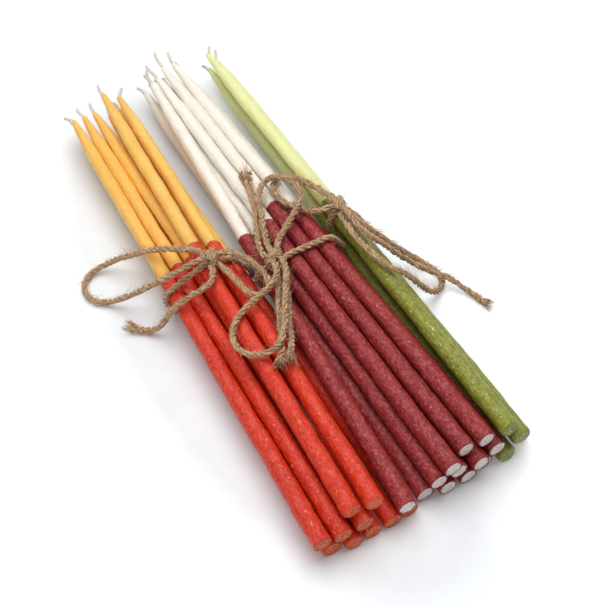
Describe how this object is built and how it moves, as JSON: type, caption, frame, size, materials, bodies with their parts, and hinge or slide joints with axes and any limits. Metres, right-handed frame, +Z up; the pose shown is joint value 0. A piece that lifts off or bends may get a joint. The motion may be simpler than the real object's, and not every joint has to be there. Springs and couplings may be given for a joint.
{
  "type": "taper candles",
  "caption": "Slim two-tone dipped taper candles in orange, burgundy and green bundles, each tied with a jute twine bow; upper candles draw out butt first.",
  "frame": {"origin": "centre of the box round the candles and ties, on the surface that the bundles lie on", "axes": "+Y along the candles from the butts to the wicks, +Z up, +X across the bundles from orange to green"},
  "size_m": [0.1209, 0.2144, 0.0256],
  "materials": {
    "apricot_wax": "satin wax",
    "orange_red_wax": "satin wax",
    "ivory_wax": "satin wax",
    "burgundy_wax": "mottled satin wax",
    "lime_wax": "satin wax",
    "olive_wax": "satin wax",
    "jute": "hairy twisted twine",
    "cotton": "waxed braid"
  },
  "bodies": {
    "orange_bundle": {"orange_bundle_wax": "apricot_wax", "orange_bundle_dip": "orange_red_wax", "orange_bundle_wick": "cotton", "orange_wrap": "jute", "orange_knot": "jute", "orange_left_loop": "jute", "orange_right_loop": "jute", "orange_tail": "jute"},
    "orange_left": {"orange_left_wax": "apricot_wax", "orange_left_dip": "orange_red_wax", "orange_left_wick": "cotton"},
    "orange_right": {"orange_right_wax": "apricot_wax", "orange_right_dip": "orange_red_wax", "orange_right_wick": "cotton"},
    "burgundy_bundle": {"burgundy_bundle_wax": "ivory_wax", "burgundy_bundle_dip": "burgundy_wax", "burgundy_bundle_wick": "cotton", "burgundy_wrap": "jute", "burgundy_knot": "jute", "burgundy_upper_loop": "jute", "burgundy_lower_loop": "jute", "burgundy_upper_tail": "jute", "burgundy_tail_left": "jute", "burgundy_tail_right": "jute"},
    "burgundy_left": {"burgundy_left_wax": "ivory_wax", "burgundy_left_dip": "burgundy_wax", "burgundy_left_wick": "cotton"},
    "burgundy_middle": {"burgundy_middle_wax": "ivory_wax", "burgundy_middle_dip": "burgundy_wax", "burgundy_middle_wick": "cotton"},
    "burgundy_right": {"burgundy_right_wax": "ivory_wax", "burgundy_right_dip": "burgundy_wax", "burgundy_right_wick": "cotton"},
    "green_bundle": {"green_bundle_wax": "lime_wax", "green_bundle_dip": "olive_wax", "green_bundle_wick": "cotton", "green_wrap": "jute", "green_knot": "jute", "green_left_loop": "jute", "green_right_loop": "jute", "green_tail": "jute"},
    "green_upper": {"green_upper_wax": "lime_wax", "green_upper_dip": "olive_wax", "green_upper_wick": "cotton"},
    "green_lower": {"green_lower_wax": "lime_wax", "green_lower_dip": "olive_wax", "green_lower_wick": "cotton"}
  },
  "joints": [
    {"name": "orange_bundle_shift", "type": "slide", "parent": "burgundy_bundle", "child": "orange_bundle", "axis": [-1, 0, 0], "range_m": [0, 0.08]},
    {"name": "green_bundle_shift", "type": "slide", "parent": "burgundy_bundle", "child": "green_bundle", "axis": [1, 0, 0], "range_m": [0, 0.08]},
    {"name": "orange_left_draw", "type": "slide", "parent": "orange_bundle", "child": "orange_left", "axis": [-0.0434, -0.999, -0.0038], "range_m": [0, 0.2]},
    {"name": "orange_right_draw", "type": "slide", "parent": "orange_bundle", "child": "orange_right", "axis": [-0.0337, -0.9993, 0.0155], "range_m": [0, 0.2]},
    {"name": "burgundy_left_draw", "type": "slide", "parent": "burgundy_bundle", "child": "burgundy_left", "axis": [0.0256, -0.9997, 0.0019], "range_m": [0, 0.2]},
    {"name": "burgundy_middle_draw", "type": "slide", "parent": "burgundy_bundle", "child": "burgundy_middle", "axis": [0.0424, -0.9991, 0.0019], "range_m": [0, 0.2]},
    {"name": "burgundy_right_draw", "type": "slide", "parent": "burgundy_bundle", "child": "burgundy_right", "axis": [0.0592, -0.9982, 0.0019], "range_m": [0, 0.2]},
    {"name": "green_upper_draw", "type": "slide", "parent": "green_bundle", "child": "green_upper", "axis": [0.0334, -0.9994, 0.0072], "range_m": [0, 0.2]},
    {"name": "green_lower_draw", "type": "slide", "parent": "green_bundle", "child": "green_lower", "axis": [0.0449, -0.999, -0.0053], "range_m": [0, 0.2]}
  ]
}
